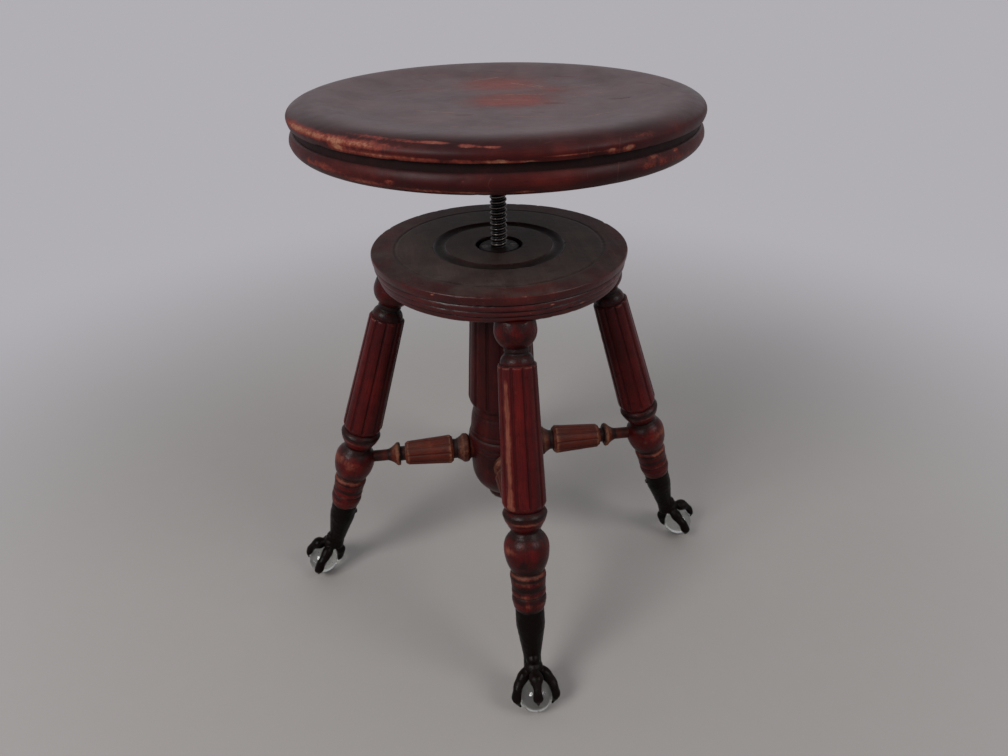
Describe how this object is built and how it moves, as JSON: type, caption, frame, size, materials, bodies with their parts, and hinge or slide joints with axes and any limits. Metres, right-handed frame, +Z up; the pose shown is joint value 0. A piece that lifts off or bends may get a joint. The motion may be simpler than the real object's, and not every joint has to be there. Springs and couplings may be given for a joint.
{
  "type": "revolving piano stool",
  "caption": "Round wooden stool whose dished seat turns up and down on an iron screw, on splayed turned legs with iron claw feet on glass balls.",
  "frame": {"origin": "on the floor, under the axis of the seat's screw", "axes": "+Z up along the screw; the four legs stand towards +X, +Y, -X and -Y, and -Y is the front"},
  "size_m": [0.4716, 0.4716, 0.5335],
  "materials": {
    "seat_wood": "dark red-brown varnish, worn to orange-red in the middle and along the rim",
    "base_wood": "dark red-brown varnish, dull and dusty on top",
    "post_wood": "dark red-brown varnish",
    "leg_wood": "dark red-brown varnish, worn to tan on the rings",
    "stretcher_wood": "brown varnish with tan worn ridges",
    "nut_iron": "dark, dusty",
    "flange_iron": "black japanned",
    "rod_iron": "dark oiled thread, bright crests",
    "claw_iron": "black with brown wear",
    "screw_steel": "dull steel",
    "nail_steel": "dull dark steel",
    "ball_glass": "clear, faintly green"
  },
  "bodies": {
    "stand": {"base_disc": "base_wood", "centre_post": "post_wood", "nut_plate": "nut_iron", "nut_screws": "screw_steel", "ferrule_nails": "nail_steel", "leg_front": "leg_wood", "leg_right": "leg_wood", "leg_rear": "leg_wood", "leg_left": "leg_wood", "stretcher_front": "stretcher_wood", "stretcher_right": "stretcher_wood", "stretcher_rear": "stretcher_wood", "stretcher_left": "stretcher_wood", "claw_foot_front": "claw_iron", "claw_foot_right": "claw_iron", "claw_foot_rear": "claw_iron", "claw_foot_left": "claw_iron", "glass_ball_front": "ball_glass", "glass_ball_right": "ball_glass", "glass_ball_rear": "ball_glass", "glass_ball_left": "ball_glass"},
    "screw_stop": {"stop_washer": "screw_steel"},
    "seat_top": {"seat": "seat_wood", "seat_flange": "flange_iron", "seat_flange_screws": "screw_steel", "screw_rod": "rod_iron", "hub_pin": "screw_steel", "stop_pin": "screw_steel"}
  },
  "joints": [
    {"name": "seat_rise", "type": "slide", "parent": "stand", "child": "screw_stop", "axis": [0, 0, 1], "range_m": [-0.0763, 0.0738]},
    {"name": "seat_turn", "type": "hinge", "parent": "screw_stop", "child": "seat_top", "pos_m": [0, 0, 0.39], "axis": [0, 0, 1], "range_deg": [-5400, 5220]}
  ],
  "couplings": [
    {"joint": "seat_rise", "follows": "seat_turn", "m_per_rad": 0.00080851}
  ]
}
